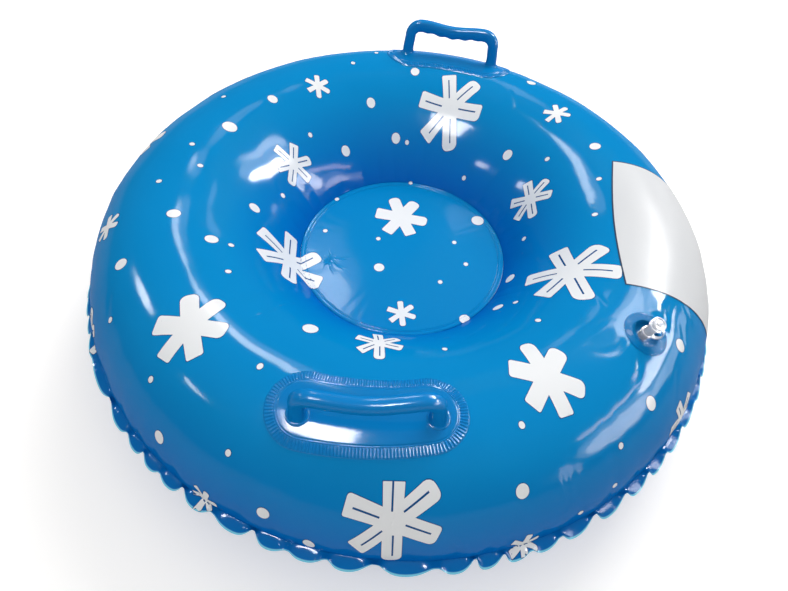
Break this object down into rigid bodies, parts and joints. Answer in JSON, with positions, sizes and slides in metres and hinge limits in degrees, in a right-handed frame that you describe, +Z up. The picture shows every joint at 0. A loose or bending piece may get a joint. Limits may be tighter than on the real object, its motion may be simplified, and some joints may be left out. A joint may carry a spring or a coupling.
{
  "type": "snow tube",
  "caption": "Round inflatable snow tube with a welded seat floor, moulded grab handles front and rear, and a push-in air valve with a tethered stopper.",
  "frame": {"origin": "middle of the tube's footprint, on the ground that it rests on", "axes": "+Z up through the middle of the ring; -Y towards the front handle; +X to the rider's right when facing +Y, the side that the valve is on"},
  "size_m": [0.9494, 0.9494, 0.3182],
  "materials": {
    "film": "glossy printed PVC film, bright blue",
    "handle_plate": "glossy moulded PVC sheet, blue",
    "handle_grip": "satin-gloss moulded soft PVC, darker blue",
    "clear_plastic": "clear moulded soft PVC"
  },
  "bodies": {
    "root": {"upper_film": "film", "lower_film": "film", "outer_weld_margin": "film", "ring_weld": "film", "seat_floor_upper": "film", "seat_floor_lower": "film", "front_handle_plate": "handle_plate", "rear_handle_plate": "handle_plate", "valve_flange": "clear_plastic"},
    "front_handle": {"front_handle_grip": "handle_grip"},
    "rear_handle": {"rear_handle_grip": "handle_grip"},
    "valve_neck": {"valve_neck": "clear_plastic"},
    "stopper": {"valve_stopper": "clear_plastic", "stopper_strap": "clear_plastic"},
    "check_flap": {"check_flap": "clear_plastic"}
  },
  "joints": [
    {"name": "front_handle_lean", "type": "hinge", "parent": "root", "child": "front_handle", "pos_m": [-0.0203, -0.34947, 0.27028], "axis": [0.9979, 0.0615, 0.0214], "range_deg": [-30, 30], "stiffness_Nm_per_rad": 0.6},
    {"name": "rear_handle_lean", "type": "hinge", "parent": "root", "child": "rear_handle", "pos_m": [0.05021, 0.36629, 0.26554], "axis": [-0.9942, 0.1076, 0.0094], "range_deg": [-30, 30], "stiffness_Nm_per_rad": 0.6},
    {"name": "valve_press", "type": "slide", "parent": "root", "child": "valve_neck", "axis": [-0.2092, 0.139, -0.9679], "range_m": [0, 0.008]},
    {"name": "stopper_pull", "type": "slide", "parent": "valve_neck", "child": "stopper", "axis": [0.2092, -0.139, 0.9679], "range_m": [0, 0.012]},
    {"name": "check_flap_swing", "type": "hinge", "parent": "valve_neck", "child": "check_flap", "pos_m": [0.29611, -0.19673, 0.24185], "axis": [0.5534, 0.8329, 0], "range_deg": [0, 60], "stiffness_Nm_per_rad": 0.0004}
  ]
}
